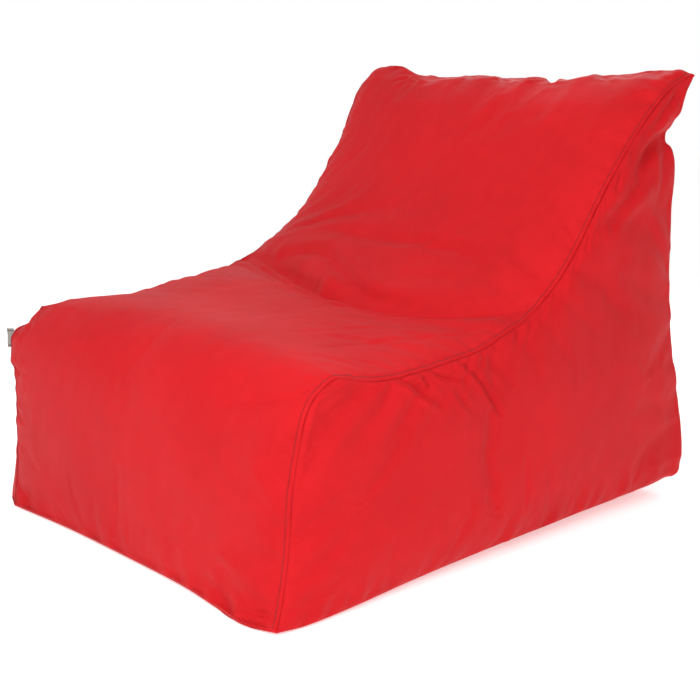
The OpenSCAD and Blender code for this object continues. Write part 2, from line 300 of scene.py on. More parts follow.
def patch(low, high, start, end, calm, fade=0.10):
    """Surface between four edges; the wiggles of a calmed edge reach only a short way in."""
    edges = [low, high, start, end]
    soft = [smooth_rows(edge, times) for edge, times in zip(edges, calm)]
    surface = coons(*soft)
    s = np.linspace(0, 1, len(low))[:, None, None]
    t = np.linspace(0, 1, len(start))[None, :, None]
    extra = [edge - calmed for edge, calmed in zip(edges, soft)]
    surface += extra[0][:, None] * bump(t, 0, fade) + extra[1][:, None] * bump(t, 1, fade)
    return surface + extra[2][None] * bump(s, 0, fade) + extra[3][None] * bump(s, 1, fade)


def zip_flat(x, z, zipper, edge=0.050, spread=0.045):
    """1 where a back lies flat behind its zip, fading to 0 round it."""
    away = np.maximum(np.abs(z - zipper.z) - 0.016, 0)
    return eased((zipper.reach + edge - np.abs(x)) / edge) * bump(away, 0, spread)


def make_strip(seam, toe, crest):
    """The front, seat and backrest in one piece, between its side seams."""
    soft = {s: smooth_rows(seam[s], reach=90) for s in (-1, 1)}
    rows = len(seam[1])
    along = np.arange(rows)
    t = np.linspace(0, 1, NX + 1)[None, :, None]
    edge = (1 - t) * seam[-1][:, None] + t * seam[1][:, None]
    middle = (1 - t) * soft[-1][:, None] + t * soft[1][:, None]
    swell = dome(t, power=3.0, fullness=0.62)
    strip = (1 - swell) * edge + swell * middle
    run = np.gradient(0.5 * (soft[-1] + soft[1]), axis=0)
    outward = unit(np.stack([0 * run[:, 0], -run[:, 2], run[:, 1]], axis=1))
    rise = np.interp(along, *zip(*CROWN, (rows - 1, 0.0)))
    strip = strip + swell * (rise[:, None] * outward)[:, None]
    lap_y = np.interp(strip[:, :, 0], *zip(*LAP_LINE))
    lap = LAP_DEPTH * bump(strip[:, :, 1], lap_y, LAP_WIDTH)
    lap += CREASE_DEPTH * bump(strip[:, :, 1], lap_y + CREASE_BACK, CREASE_WIDTH)
    strip = strip - (lap * (along > NZ)[:, None])[:, :, None] * swell * outward[:, None]
    # its ends go to the top edge and to the bottom front seam
    share = np.linspace(0, 1, rows)[:, None, None]
    strip = strip + (crest - strip[-1])[None] * share ** 30
    return strip + (toe - strip[0])[None] * (1 - share) ** 40


def make_body():
    """The five sewn surfaces as grids that share their edges."""
    front = {-1: side_curve(LEFT_FRONT_SEAM, -1, NZ), 1: side_curve(RIGHT_FRONT_SEAM, 1, NZ)}
    seat = {-1: side_curve(LEFT_SEAT_SEAM, -1, NY), 1: side_curve(RIGHT_SEAT_SEAM, 1, NY)}
    rear = {s: side_curve(REAR_SEAM, s, NZ) for s in (-1, 1)}
    base = {s: side_curve(BASE_SEAM, s, 4 * NY) for s in (-1, 1)}
    crest = even_curve(CREST, NX)
    for s, end in ((-1, 0), (1, -1)):
        shift = crest[end] - seat[s][-1]
        ease = np.linspace(0, 1, NY + 1)[:, None] ** 6
        seat[s] = seat[s] + shift * ease + (front[s][-1] - seat[s][0]) * ease[::-1]
        rear[s] = rear[s] + shift * np.linspace(0, 1, NZ + 1)[:, None] ** 6
        share = (seat[s][:, 1] - seat[s][0, 1]) / (seat[s][-1, 1] - seat[s][0, 1])
        base[s] = match_columns(base[s], share)
        base[s][0], base[s][-1] = front[s][0], rear[s][0]

    seam = {s: np.vstack([front[s], seat[s][1:]]) for s in (-1, 1)}
    toe = even_curve(TOE_SEAM, NX)
    toe[0], toe[-1] = seam[-1][0], seam[1][0]
    strip = make_strip(seam, toe, crest)

    # the sides, with vertical columns that meet the strip's rows
    sides = {}
    s_share = np.linspace(0, 1, NY + 1)[:, None]
    t_share = np.linspace(0, 1, NZ + 1)[None, :]
    for s in (-1, 1):
        sheet = patch(base[s], seat[s], front[s], rear[s], calm=(0, 0, 60, 60))
        swell_side = dome(s_share, 3.0, 0.7) * dome(t_share, 2.6, 0.7)
        sheet[:, :, 0] += s * SIDE_SWELL * swell_side
        sides[s] = sheet

    # the back and the base
    x_share = np.linspace(0, 1, NX + 1)[:, None]
    floor_rear = (1 - x_share) * rear[-1][0] + x_share * rear[1][0]
    floor_rear[:, 1:] -= dome(x_share, 2.6, 0.8) * REAR_TUCK
    back = patch(floor_rear, crest, rear[-1], rear[1], calm=(0, 150, 60, 60))
    swell_back = dome(x_share, 2.6, 0.7) * dome(t_share, 2.6, 0.7)
    back[:, :, 1] += BACK_SWELL * swell_back
    flat = zip_flat(back[:, :, 0], back[:, :, 2], COVER_ZIP, edge=0.060, spread=0.070)
    back[:, :, 1] += flat * (BACK_Y - back[:, :, 1])
    floor = coons(base[-1], base[1], toe, floor_rear)
    inside = dome(s_share, 6, 1.0) * dome(x_share.T, 6, 1.0)
    floor[:, :, 2] = floor[:, :, 2] * (1 - inside)
    return {"strip": strip, "left": sides[-1], "right": sides[1],
            "back": back.transpose(1, 0, 2), "base": floor}


# ---------------------------------------------------------------- cloth
def lattice_places():
    """Where each grid point of the five surfaces lies on the box-shaped lattice (i, j, k)."""
    i, j, k = np.arange(NX + 1), np.arange(NY + 1)[:, None], np.arange(NZ + 1)
    rows = np.arange(NZ + NY + 1)[:, None]
    places = {"strip": (i, np.maximum(rows - NZ, 0), np.minimum(rows, NZ)),
              "left": (0, j, k), "right": (NX, j, k), "back": (i, NY, k[:, None]),
              "base": (i, j, 0)}
    return {part: np.stack(np.broadcast_arrays(*ijk), axis=-1) for part, ijk in places.items()}


FLIPPED = {"strip": True, "left": True, "right": False, "back": False, "base": False}


def numbered(grid):
    """The number of each point of a grid, row by row."""
    return np.arange(grid.shape[0] * grid.shape[1]).reshape(grid.shape[:2])


def grid_quads(ids, flip):
    """The point numbers of each face of a grid."""
    quads = np.stack([ids[:-1, :-1], ids[1:, :-1], ids[1:, 1:], ids[:-1, 1:]], axis=-1)
    return quads[:, :, ::-1] if flip else quads


def sewn_mesh(body):
    """All five surfaces as one mesh with shared seam points, and each surface's point numbers."""
    number = -np.ones((NX + 1, NY + 1, NZ + 1), int)
    points, numbers, quads = [], {}, []
    for part, places in lattice_places().items():
        flat = places.reshape(-1, 3)
        here = number[tuple(flat.T)]
        new = here < 0
        here[new] = len(points) + np.arange(new.sum())
        number[tuple(flat.T)] = here
        points.extend(body[part].reshape(-1, 3)[new])
        numbers[part] = here.reshape(places.shape[:2])
        quads.append(grid_quads(numbers[part], FLIPPED[part]).reshape(-1, 4))
    return np.array(points), numbers, np.concatenate(quads)


def seam_weights(points, numbers):
    """1 on the points of every seam and 0 elsewhere."""
    weight = np.zeros(len(points))
    for part in ("strip", "back", "base"):
        for line in (numbers[part][:, 0], numbers[part][:, -1], numbers[part][-1]):
            weight[line] = 1.0
    weight[numbers["strip"][0]] = 1.0
    return weight


def run_cloth(points, quads, hold, seam, frames=24):
    """Where the points go as cloth under light pressure, held near its sewn shape."""
    mesh = bpy.data.meshes.new("cloth")
    mesh.from_pydata(points.tolist(), [], quads.tolist())
    cloth = bpy.data.objects.new("cloth", mesh)
    bpy.context.collection.objects.link(cloth)
    for name, values in (("hold", hold), ("seam", seam)):
        group = cloth.vertex_groups.new(name=name)
        for w in np.unique(values[values > 0]):
            group.add(np.flatnonzero(values == w).tolist(), float(w), "REPLACE")
    modifier = cloth.modifiers.new("cloth", "CLOTH")
    s = modifier.settings
    s.quality = 5
    s.mass = 0.3
    s.tension_stiffness = s.compression_stiffness = 25
    s.shear_stiffness = 12
    s.bending_stiffness = 0.6
    s.tension_damping = s.compression_damping = s.shear_damping = 8
    s.bending_damping = 1
    s.air_damping = 2
    s.use_pressure = True
    s.uniform_pressure_force = 3.0
    s.effector_weights.gravity = 0.0
    s.vertex_group_mass = "hold"
    s.pin_stiffness = 1.0
    s.vertex_group_shrink = "seam"
    s.shrink_min = -0.015
    s.shrink_max = 0.05
    modifier.point_cache.frame_start = 1
    modifier.point_cache.frame_end = frames
    scene = bpy.context.scene
    scene.frame_start, scene.frame_end = 1, frames
    for f in range(1, frames + 1):
        scene.frame_set(f)
    shaped = cloth.evaluated_get(bpy.context.evaluated_depsgraph_get())
    moved = np.empty(len(points) * 3)
    shaped.data.vertices.foreach_get("co", moved)
    scene.frame_set(1)
    bpy.data.objects.remove(cloth)
    bpy.data.meshes.remove(mesh)
    return moved.reshape(-1, 3)


def neighbour_average(values, edges, times):
    """Values spread over a mesh, by averaging each point with its neighbours, in steps."""
    count = np.bincount(edges.ravel(), minlength=len(values))[:, None]
    for _ in range(times):
        total = np.stack([np.bincount(edges[:, 0], values[edges[:, 1], c], len(values))
                          + np.bincount(edges[:, 1], values[edges[:, 0], c], len(values))
                          for c in range(values.shape[1])], axis=1)
        values = 0.4 * values + 0.6 * total / count
    return values


def mesh_edges(quads):
    pairs = np.concatenate([quads[:, [i, (i + 1) % 4]] for i in range(4)])
    return np.unique(np.sort(pairs, axis=1), axis=0)


def mesh_normals(points, quads):
    """Outward direction at each point of the sewn mesh."""
    across = np.cross(points[quads[:, 2]] - points[quads[:, 0]],
                      points[quads[:, 3]] - points[quads[:, 1]])
    total = np.zeros_like(points)
    for corner in range(4):
        np.add.at(total, quads[:, corner], across)
    return unit(total)


def puff(body, share=0.42, most=0.006):
    """The sewn body with a share of the folds that cloth makes; its large shape stays as cut."""
    points, numbers, quads = sewn_mesh(body)
    seam = seam_weights(points, numbers)
    loose, firm = 0.06, 0.9
    near_zip = (np.abs(points[:, 2] - COVER_ZIP.z) < 0.03) & (points[:, 1] > BACK_Y - 0.02)
    hold = np.where((points[:, 2] < 0.02) | near_zip, firm, loose)
    cloth_points = run_cloth(points, quads, hold, seam)
    move = cloth_points - points
    move = share * (move - neighbour_average(move, mesh_edges(quads), times=60))
    size = np.linalg.norm(move, axis=1, keepdims=True)
    points = points + move * np.minimum(1.0, most / np.maximum(size, 1e-9))
    return {part: points[ids] for part, ids in numbers.items()}


def inner_body(body, depth, softness):
    """A softer body that lies at a depth inside this one: for the liner and for the fill."""
    points, numbers, quads = sewn_mesh(body)
    normals = mesh_normals(points, quads)
    soft = neighbour_average(points, mesh_edges(quads), softness)
    outward = np.sum((soft - points) * normals, axis=1, keepdims=True)
    points = soft - (depth + np.maximum(outward, 0)) * normals
    points[:, 2] = np.maximum(points[:, 2], depth * 0.3)
    return points, numbers, quads


# ---------------------------------------------------------------- fine detail of the cover
def graded(count, first, widest, growth=1.06):
    """Places along one side of the lattice, close together at both ends."""
    steps = np.minimum(first * growth ** np.arange(400), widest)
    half = np.concatenate([[0.0], np.cumsum(steps)])
    half = half[half < count / 2 - 0.4 * widest]
    return np.concatenate([half, [count / 2], count - half[::-1]])


X_PLACES = graded(NX, first=0.12, widest=0.55)
Y_PLACES = graded(NY, first=0.12, widest=0.42)
Z_PLACES = graded(NZ, first=0.12, widest=0.30)


def fine_grids(body):
    """All panels resampled finely, with points of shared seams in the same places."""
    strip = body["strip"]
    smooth = resample(strip, np.concatenate([Z_PLACES, NZ + Y_PLACES[1:]]), X_PLACES)
    split = np.concatenate([resample(strip[:NZ + 1], Z_PLACES, X_PLACES),
                            resample(strip[NZ:], Y_PLACES, X_PLACES)[1:]])
    near_side = bump(np.minimum(X_PLACES, NX - X_PLACES), 0, 2.0)[None, :, None]
    return {"strip": near_side * split + (1 - near_side) * smooth,
            "left": resample(body["left"], Y_PLACES, Z_PLACES),
            "right": resample(body["right"], Y_PLACES, Z_PLACES),
            "back": resample(body["back"], Z_PLACES, X_PLACES),
            "base": resample(body["base"], Y_PLACES, X_PLACES)}


def outward_normals(grid, flip):
    normals = unit(np.cross(np.gradient(grid, axis=0), np.gradient(grid, axis=1)))
    return -normals if flip else normals


def lengths(grid, axis):
    """Distance along a grid's lines from their first points."""
    step = np.linalg.norm(np.diff(grid, axis=axis), axis=2)
    first = np.zeros_like(np.take(step, [0], axis=axis))
    return np.cumsum(np.concatenate([first, step], axis=axis), axis=axis)


def edge_distances(grid):
    """Distances from the four edges: start and end of the rows, start and end of the columns."""
    down, over = lengths(grid, 0), lengths(grid, 1)
    return down, down[-1:] - down, over, over[:, -1:] - over


def waves(place, wavelength, seed, terms=7):
    """Smooth irregular waves of about unit height along a line or through space."""
    rng = np.random.default_rng(seed)
    in_space = place.ndim == 3
    total = 0.0
    for _ in range(terms):
        number = 2 * math.pi / (wavelength * rng.uniform(0.6, 1.8))
        if in_space:
            angle = place @ (unit(rng.normal(size=3)) * number)
        else:
            angle = place * number
        total = total + np.sin(angle + rng.uniform(0, 2 * math.pi))
    return total / math.sqrt(terms / 2) * 0.7


def roll(d, width):
    """0 on a seam, 1 at a width from it, then fading out."""
    return d / width * np.exp(1 - d / width)


# Distance from the seam to its row of stitches; height of the band between, and how far its
# edge takes to come down; depth of the dent that the thread makes, and width of the dents
STITCH_INSET = 0.008
BAND_HEIGHT, BAND_END = 0.0012, 0.0006
THREAD_DENT, DENT_WIDTH = 0.0006, 0.0016


def lap_band(d):
    """Height of the stitched-down seam allowance: a flat band, then the dent of the thread."""
    band = BAND_HEIGHT * (1 - bump(d, 0, DENT_WIDTH)) / (1 + np.exp((d - STITCH_INSET) / BAND_END))
    return band - THREAD_DENT * bump(d, STITCH_INSET, DENT_WIDTH)


# Creases as (points, width, depth), each with points on the panel that it is in
GATHERS = [
    ([(0.410, -0.236, 0.344), (0.412, -0.222, 0.331), (0.415, -0.194, 0.308),
      (0.420, -0.157, 0.286)], 0.0060, 0.0060),
    ([(0.410, -0.254, 0.343), (0.412, -0.237, 0.332), (0.414, -0.224, 0.322)], 0.0030, 0.0020),
    ([(0.411, -0.192, 0.346), (0.414, -0.186, 0.327), (0.415, -0.180, 0.308)], 0.0035, 0.0028),
    ([(0.410, -0.174, 0.350), (0.414, -0.149, 0.329), (0.415, -0.104, 0.316)], 0.0040, 0.0036),
    ([(0.418, -0.133, 0.308), (0.420, -0.119, 0.288), (0.422, -0.098, 0.266)], 0.0055, 0.0034),
    ([(0.411, -0.108, 0.352), (0.417, -0.074, 0.314), (0.422, -0.043, 0.274),
      (0.422, -0.026, 0.246)], 0.0050, 0.0056),
    ([(0.410, -0.050, 0.350), (0.418, -0.020, 0.318), (0.422, 0.004, 0.290)], 0.0080, 0.0022),
]
SIDE_FOLDS = GATHERS + [
    ([(0.404, 0.335, 0.622), (0.404, 0.385, 0.662), (0.402, 0.430, 0.690)], 0.0100, 0.0070),
    ([(0.400, 0.262, 0.548), (0.404, 0.315, 0.586), (0.406, 0.390, 0.625)], 0.0120, 0.0060),
    ([(0.406, 0.380, 0.700), (0.404, 0.415, 0.735), (0.404, 0.450, 0.760)], 0.0070, 0.0040),
    ([(0.405, 0.442, 0.700), (0.408, 0.415, 0.640), (0.412, 0.400, 0.560)], 0.0120, 0.0040),
    ([(0.412, -0.455, 0.120), (0.418, -0.400, 0.150), (0.422, -0.330, 0.160)], 0.0150, 0.0025),
    ([(0.412, 0.480, 0.160), (0.418, 0.420, 0.190), (0.422, 0.340, 0.200)], 0.0160, 0.0035),
]
STRIP_FOLDS = [
    ([(-0.385, 0.066, 0.425), (-0.240, 0.019, 0.410), (-0.038, -0.048, 0.406),
      (0.118, -0.060, 0.404), (0.200, -0.054, 0.401), (0.262, -0.029, 0.399),
      (0.310, 0.000, 0.398)], 0.0070, 0.0075),
    ([(-0.250, 0.083, 0.430), (-0.131, 0.081, 0.437), (-0.030, 0.036, 0.422),
      (0.068, -0.015, 0.411), (0.156, -0.021, 0.408), (0.230, -0.006, 0.405)], 0.0150, 0.0080),
    ([(0.130, 0.050, 0.440), (0.200, 0.060, 0.442), (0.260, 0.060, 0.440)], 0.0120, 0.0025),
    ([(0.288, -0.290, 0.378), (0.303, -0.183, 0.378), (0.343, -0.088, 0.381),
      (0.375, 0.019, 0.389)], 0.0060, 0.0016),
    ([(0.203, -0.264, 0.387), (0.239, -0.167, 0.386), (0.290, -0.081, 0.389)], 0.0080, 0.0014),
    ([(0.261, -0.455, 0.313), (0.328, -0.442, 0.327), (0.396, -0.424, 0.340)], 0.0060, 0.0018),
    ([(0.380, -0.424, 0.348), (0.392, -0.418, 0.352), (0.402, -0.411, 0.357)], 0.0030, 0.0022),
    ([(0.330, -0.484, 0.012), (0.375, -0.480, 0.022), (0.404, -0.474, 0.024)], 0.0045, 0.0030),
    ([(0.240, -0.484, 0.030), (0.290, -0.486, 0.014), (0.330, -0.490, 0.006)], 0.0100, 0.0040),
    ([(0.112, 0.466, 0.778), (0.120, 0.450, 0.770), (0.150, 0.420, 0.754)], 0.0080, 0.0050),
    ([(0.105, 0.462, 0.776), (0.080, 0.440, 0.772), (0.060, 0.420, 0.760)], 0.0070, 0.0030),
    ([(-0.262, 0.466, 0.798), (-0.270, 0.440, 0.780), (-0.300, 0.425, 0.770)], 0.0080, 0.0050),
    ([(-0.250, 0.466, 0.798), (-0.235, 0.430, 0.775), (-0.215, 0.410, 0.758)], 0.0080, 0.0040),
    ([(-0.020, 0.468, 0.790), (-0.005, 0.440, 0.772), (0.015, 0.424, 0.760)], 0.0070, 0.0030),
    ([(-0.110, 0.468, 0.795), (-0.095, 0.444, 0.777), (-0.085, 0.430, 0.768)], 0.0060, 0.0025),
    ([(0.225, 0.468, 0.790), (0.250, 0.440, 0.770), (0.285, 0.418, 0.756)], 0.0080, 0.0025),
    ([(-0.395, -0.452, 0.262), (-0.370, -0.455, 0.256), (-0.335, -0.462, 0.262)], 0.0060, 0.0030),
    ([(-0.388, -0.412, 0.352), (-0.375, -0.425, 0.345), (-0.350, -0.442, 0.330)], 0.0060, 0.0035),
]


def mirrored(folds, shift):
    """The same kind of creases on the other side, moved along the seam."""
    return [([(-x, y + shift, z) for x, y, z in path], width, depth)
            for path, width, depth in folds]


def fold_height(points, path, width, depth):
    """A crease along a path: a groove with a soft ridge beside it, fading at both ends.
    The path is first dropped onto the cloth."""
    path = catmull(path, np.linspace(0, len(path) - 1, 6 * len(path)))
    height = np.zeros(points.shape[:2])
    low, high = path.min(0) - 6 * width, path.max(0) + 6 * width
    near = np.all((points > low) & (points < high), axis=2)
    if not near.any():
        return height
    p, normals = points[near], outward_normals(points, False)[near]
    nearest = np.argmin(np.linalg.norm(p[None] - path[:, None], axis=2), axis=1)
    across = normals[nearest]
    path = path + across * np.sum((p[nearest] - path) * across, axis=1, keepdims=True)
    best = np.full(len(p), 9.0)
    side, share = np.zeros(len(p)), np.zeros(len(p))
    for i in range(len(path) - 1):
        along = path[i + 1] - path[i]
        t = np.clip((p - path[i]) @ along / (along @ along), 0, 1)
        gap = p - (path[i] + t[:, None] * along)
        distance = np.linalg.norm(gap, axis=1)
        closer = distance < best
        best[closer] = distance[closer]
        side[closer] = np.sign(gap @ np.cross(along, across[i]))[closer]
        share[closer] = ((i + t) / (len(path) - 1))[closer]
    taper = np.sin(math.pi * np.clip(0.08 + 0.92 * share, 0, 1)) ** 0.6
    profile = -bump(best, 0, width) + 0.5 * bump(best, 2.1 * width, 1.1 * width)
    profile += 0.15 * side * bump(best, 1.6 * width, width)
    height[near] = depth * taper * profile
    return height


# What the seams do to the cloth beside them, for the edges of each panel: "start" and "end" are
# the first and last rows of its grid, "left" and "right" its first and last columns.
SIDE_ROLLS = (("right", 0.0012, 0.007), ("start", 0.0014, 0.006), ("end", 0.0012, 0.006))
LAPS = {"strip": ("left", "right"), "back": ("end",)}
# Rolls of cloth beside a seam, as (edge, height, width)
ROLLS = {"left": SIDE_ROLLS, "right": SIDE_ROLLS,
         "back": (("left", 0.0014, 0.006), ("right", 0.0014, 0.006))}


# Waves along a seam, as (edge, seed, height, wavelength, width)
def side_ripples(seed):
    return (("right", seed, 0.0010, 0.045, 0.014), ("end", seed + 1, 0.0034, 0.075, 0.018),
            ("left", seed + 2, 0.0022, 0.060, 0.014), ("start", seed + 3, 0.0008, 0.050, 0.012))


RIPPLES = {
    "strip": (("left", 11, 0.0009, 0.040, 0.016), ("right", 12, 0.0007, 0.045, 0.016),
              ("end", 13, 0.0042, 0.085, 0.022), ("end", 14, 0.0012, 0.030, 0.009),
              ("start", 15, 0.0020, 0.060, 0.014)),
    "right": side_ripples(20),
    "left": side_ripples(30),
    "back": (("end", 41, 0.0036, 0.080, 0.020), ("left", 42, 0.0030, 0.075, 0.018),
             ("right", 43, 0.0030, 0.075, 0.018)),
}
FOLDS = {"strip": STRIP_FOLDS, "right": SIDE_FOLDS, "left": mirrored(SIDE_FOLDS, 0.018)}


def dress(grids):
    """Adds what the thread, the seams and the gathers do to the cloth; the base stays plain."""
    out = {"base": grids["base"]}
    for part in ("strip", "left", "right", "back"):
        grid = grids[part]
        edges = dict(zip(("start", "end", "left", "right"), edge_distances(grid)))
        nearest = np.minimum.reduce(list(edges.values()))
        down = lengths(grid, 0)[:, :1] + 0 * nearest
        over = lengths(grid, 1)[:1] + 0 * nearest
        inside = 1 - bump(nearest, 0, 0.030)
        height = 0.0018 * inside * waves(grid, wavelength=0.20, seed=5, terms=12)
        height += 0.0004 * inside * waves(grid, wavelength=0.070, seed=6, terms=16)
        for edge in LAPS.get(part, ()):
            height += lap_band(edges[edge])
        for edge, most, width in ROLLS.get(part, ()):
            height += most * roll(edges[edge], width)
        for edge, seed, most, wavelength, width in RIPPLES[part]:
            along = down if edge in ("left", "right") else over
            height += most * waves(along, wavelength, seed) * roll(edges[edge], width)
        for path, width, depth in FOLDS.get(part, ()):
            height += fold_height(grid, path, width, depth)
        height *= 1 - bump(nearest, 0, 0.0010)
        out[part] = grid + height[:, :, None] * outward_normals(grid, FLIPPED[part])
        out[part][:, :, 2] = np.maximum(out[part][:, :, 2], np.minimum(grid[:, :, 2], 0.001))
    return out


def fit_to_zip(grid, zipper, face_y):
    """Makes a back flat round its zip, with rows on both edges of the slot; also those rows."""
    grid = grid.copy()
    z = grid[:, :, 2]
    middle = grid.shape[1] // 2
    low = int(np.argmin(np.abs(z[:, middle] - zipper.low)))
    high = int(np.argmin(np.abs(z[:, middle] - zipper.high)))
    across = eased((zipper.reach + 0.050 - np.abs(grid[:, :, 0])) / 0.050)
    rows = np.arange(len(grid))[:, None]
    for row, target in ((low, zipper.low), (high, zipper.high)):
        outer = low - rows if row == low else rows - high
        fade = np.clip(1 - outer / 14, 0, 1) * (outer >= 0)
        grid[:, :, 2] += fade * across * (target - grid[row, :, 2])[None]
    between = (rows > low) & (rows < high)
    share = (rows - low) / (high - low)
    straight = grid[low, :, 2] + share * (grid[high, :, 2] - grid[low, :, 2])
    grid[:, :, 2] = np.where(between, straight, grid[:, :, 2])
    flat = zip_flat(grid[:, :, 0], grid[:, :, 2], zipper)
    grid[:, :, 1] += flat * (face_y - grid[:, :, 1])
    return grid, low, high


# ---------------------------------------------------------------- meshes
def raw_mesh(name, points, faces):
    """An object from points and faces, with nothing under the floor."""
    points = np.array(points, np.float32)
    points[:, 2] = np.maximum(points[:, 2], 0.0)
    mesh = bpy.data.meshes.new(name)
    mesh.from_pydata(points.tolist(), [], faces.tolist(), shade_flat=False)
    mesh.validate()
    obj = bpy.data.objects.new(name, mesh)
    bpy.context.collection.objects.link(obj)
    return obj


def turned_in(grid, normals, depth):
    """The grid with one more line of points round it, where the cloth turns in at a seam."""
    wide = np.pad(grid - depth * normals, ((1, 1), (1, 1), (0, 0)), mode="edge")
    wide[1:-1, 1:-1] = grid
    return wide


def panel(name, grid, flip, hem=0.005, faces_kept=None):
    """One cut piece of cloth, with its allowance turned in along every edge."""
    normals = outward_normals(grid, flip)
    wide = turned_in(grid, normals, hem)
    faces = grid_quads(numbered(wide), flip)
    if faces_kept is not None:
        faces = faces[np.pad(faces_kept, 1, mode="edge")]
    faces = faces.reshape(-1, 4)
    used, where = np.unique(faces, return_inverse=True)
    piece = raw_mesh(name, wide.reshape(-1, 3)[used], where.reshape(faces.shape))
    cloth = np.stack([lengths(wide, 1), lengths(wide, 0)], axis=-1).reshape(-1, 2)
    layer = piece.data.uv_layers.new(name="cloth")
    layer.data.foreach_set("uv", cloth[faces.ravel()].astype(np.float32).ravel())
    # seam is 1 along every edge of the piece; the fabric darkens its colour there, partly as
    # crease dirt and partly as painted shade of the seam groove and thread.
    nearest = np.minimum.reduce(edge_distances(wide))
    seam = bump(nearest, hem, 0.0010).reshape(-1)[used]
    seam_dirt_and_shade = piece.data.attributes.new("seam", "FLOAT", "POINT")
    seam_dirt_and_shade.data.foreach_set("value", seam.astype(np.float32))
    return piece


def slotted_back(names, grid, zipper, face_y, hem):
    """The two back panels of a layer, above and below the slot for its zip."""
    grid, low, high = fit_to_zip(grid, zipper, face_y)
    middle = (low + high) // 2
    x = 0.5 * (grid[:-1, :-1, 0] + grid[:-1, 1:, 0])
    in_slot = np.abs(x) < zipper.reach
    rows = np.arange(grid.shape[0] - 1)[:, None]
    upper = (rows >= high) | ((rows >= middle) & ~in_slot)
    lower = (rows < low) | ((rows < middle) & ~in_slot)
    return [panel(name, grid, False, hem, kept) for name, kept in zip(names, (upper, lower))]


# ---------------------------------------------------------------- thread, coil and ribbon
def tube(path, radius, up, sides):
    """Points and faces of a round tube along a path."""
    tangent = unit(np.gradient(path, axis=0))
    side = unit(np.cross(up, tangent))
    normal = unit(np.cross(tangent, side))
    angle = np.linspace(0, 2 * math.pi, sides, endpoint=False)
    ring = (np.cos(angle)[None, :, None] * side[:, None]
            + np.sin(angle)[None, :, None] * normal[:, None]) * radius
    points = (path[:, None] + ring).reshape(-1, 3)
    index = np.arange(len(path) * sides).reshape(len(path), sides)
    after = np.roll(index, -1, axis=1)
    faces = np.stack([index[:-1], after[:-1], after[1:], index[1:]], axis=-1).reshape(-1, 4)
    return points, faces


def stitch_points(path, normals, pitch):
    """Middles, directions and normals of stitches at an even pitch along a path."""
    along = line_lengths(path)
    want = np.arange(pitch, along[-1] - pitch, pitch)
    middle = between_points(want, along, path)
    normal = unit(between_points(want, along, normals))
    tangent = unit(between_points(want + pitch / 2, along, path) - middle)
    return middle, tangent, unit(normal - (normal * tangent).sum(1, keepdims=True) * tangent)


def stitches(name, path, normals, pitch=0.0052, length=0.0040, radius=0.00050):
    """A row of single stitches: each a short thread that dips into the cloth at both ends."""
    t = np.linspace(-1, 1, 7)
    arch = np.stack([t * length / 2, 0 * t, radius * (0.9 - 2.2 * t ** 4)], axis=1)
    model, faces = tube(arch, radius, np.array([0.0, 0.0, 1.0]), sides=6)
    middle, tangent, normal = stitch_points(path, normals, pitch)
    side = np.cross(normal, tangent)
    placed = (middle[:, None] + model[None, :, :1] * tangent[:, None]
              + model[None, :, 1:2] * side[:, None] + model[None, :, 2:] * normal[:, None])
    shift = len(model) * np.arange(len(middle))
    all_faces = (faces[None] + shift[:, None, None]).reshape(-1, 4)
    return raw_mesh(name, placed.reshape(-1, 3), all_faces)


def line_at(grid, normals, distance, inset, rows):
    """The line on a grid that runs at an inset from one edge, with its normals."""
    path, out = [], []
    for r in rows:
        order = np.argsort(distance[r])[:60]
        d = distance[r][order]
        path.append(between_points(inset, d, grid[r, order]))
        out.append(between_points(inset, d, normals[r, order]))
    return np.array(path), np.array(out)


def coil(name, node, pitch=0.0015, wire=0.00036):
    """A zip's row of coil, wound through the CAD row's box."""
    low, high = (np.array(c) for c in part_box(node))
    centre, half = (low + high) / 2, (high - low) / 2 - wire
    turns = (high[0] - low[0]) / pitch
    a = np.linspace(0, 2 * math.pi * turns, int(turns * 12))
    shorter = 1 - 2 * wire / (high[0] - low[0])
    path = np.stack([low[0] + wire + a / (2 * math.pi) * pitch * shorter,
                     centre[1] + half[1] * np.sin(a), centre[2] + half[2] * np.cos(a)], axis=1)
    points, faces = tube(path, wire, np.array([1.0, 0.0, 0.0]), sides=5)
    piece = raw_mesh(name, points, faces)
    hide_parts(node)
    return piece


def softened(name, node, width, reach=None):
    """A copy of a hard CAD part with its edges rounded, cut short at x = +-reach if given."""
    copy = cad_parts[node].copy()
    copy.data = copy.data.copy()
    for key in list(copy.keys()):
        del copy[key]
    copy.name = name
    bpy.context.collection.objects.link(copy)
    bm = bmesh.new()
    bm.from_mesh(copy.data)
    bmesh.ops.remove_doubles(bm, verts=bm.verts, dist=1e-6)
    bmesh.ops.dissolve_limit(bm, angle_limit=0.02, verts=bm.verts, edges=bm.edges)
    if reach:
        for vert in bm.verts:
            vert.co.x = min(max(vert.co.x, -reach), reach)
    bm.to_mesh(copy.data)
    bm.free()
    bevel = copy.modifiers.new("edges", "BEVEL")
    bevel.width = width
    bevel.segments = 3
    bevel.limit_method = "ANGLE"
    bevel.angle_limit = math.radians(40)
    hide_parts(node)
    return copy


